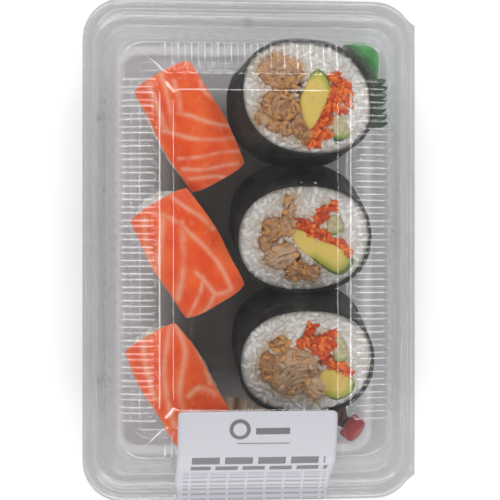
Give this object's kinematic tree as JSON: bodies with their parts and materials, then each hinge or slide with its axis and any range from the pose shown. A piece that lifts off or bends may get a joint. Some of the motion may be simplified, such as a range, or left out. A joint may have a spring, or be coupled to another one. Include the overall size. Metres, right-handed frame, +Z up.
{
  "type": "takeaway sushi tray",
  "caption": "Takeaway sushi in a clear hinged box: salmon nigiri, thick rolls with chicken, avocado and vegetables, wasabi, pickled ginger and a soy sauce bottle",
  "frame": {"origin": "under the middle of the box, on the surface that it stands on", "axes": "+Z up, +X towards the hinged long side, +Y along the box towards the end with no label"},
  "size_m": [0.13, 0.195, 0.0467],
  "materials": {
    "clear_plastic": "clear PET sheet, glossy",
    "label_paper": "coated paper, plain fields of colour",
    "rice": "cooked sushi rice, moist",
    "salmon": "raw salmon, moist sheen",
    "nori": "toasted seaweed sheet",
    "chicken": "cooked chicken in sauce",
    "avocado": "ripe avocado",
    "carrot": "carrot strips",
    "cucumber": "cucumber stick",
    "wasabi": "wasabi paste, wet gloss",
    "grass_leaf": "thin plastic grass divider",
    "ginger": "pickled ginger, moist",
    "soy_sauce": "bottle filled with soy sauce",
    "red_cap": "moulded cap"
  },
  "bodies": {
    "tray": {"tray": "clear_plastic", "roll_1_nori": "nori", "roll_1_rice": "rice", "roll_1_chicken": "chicken", "roll_1_avocado": "avocado", "roll_1_carrot": "carrot", "roll_1_cucumber": "cucumber", "roll_2_nori": "nori", "roll_2_rice": "rice", "roll_2_chicken": "chicken", "roll_2_avocado": "avocado", "roll_2_carrot": "carrot", "roll_2_cucumber": "cucumber", "roll_3_nori": "nori", "roll_3_rice": "rice", "roll_3_chicken": "chicken", "roll_3_avocado": "avocado", "roll_3_carrot": "carrot", "roll_3_cucumber": "cucumber", "nigiri_1_salmon": "salmon", "nigiri_1_rice": "rice", "nigiri_2_salmon": "salmon", "nigiri_2_rice": "rice", "nigiri_3_salmon": "salmon", "nigiri_3_rice": "rice", "wasabi": "wasabi", "grass_leaf": "grass_leaf", "ginger_fold": "ginger", "ginger_curl": "ginger", "soy_body": "soy_sauce", "soy_cap": "red_cap"},
    "lid": {"lid": "clear_plastic", "label": "label_paper"}
  },
  "joints": [
    {"name": "lid_hinge", "type": "hinge", "parent": "tray", "child": "lid", "pos_m": [0.0652, 0, 0.024], "axis": [0, 1, 0], "range_deg": [0, 180]}
  ]
}
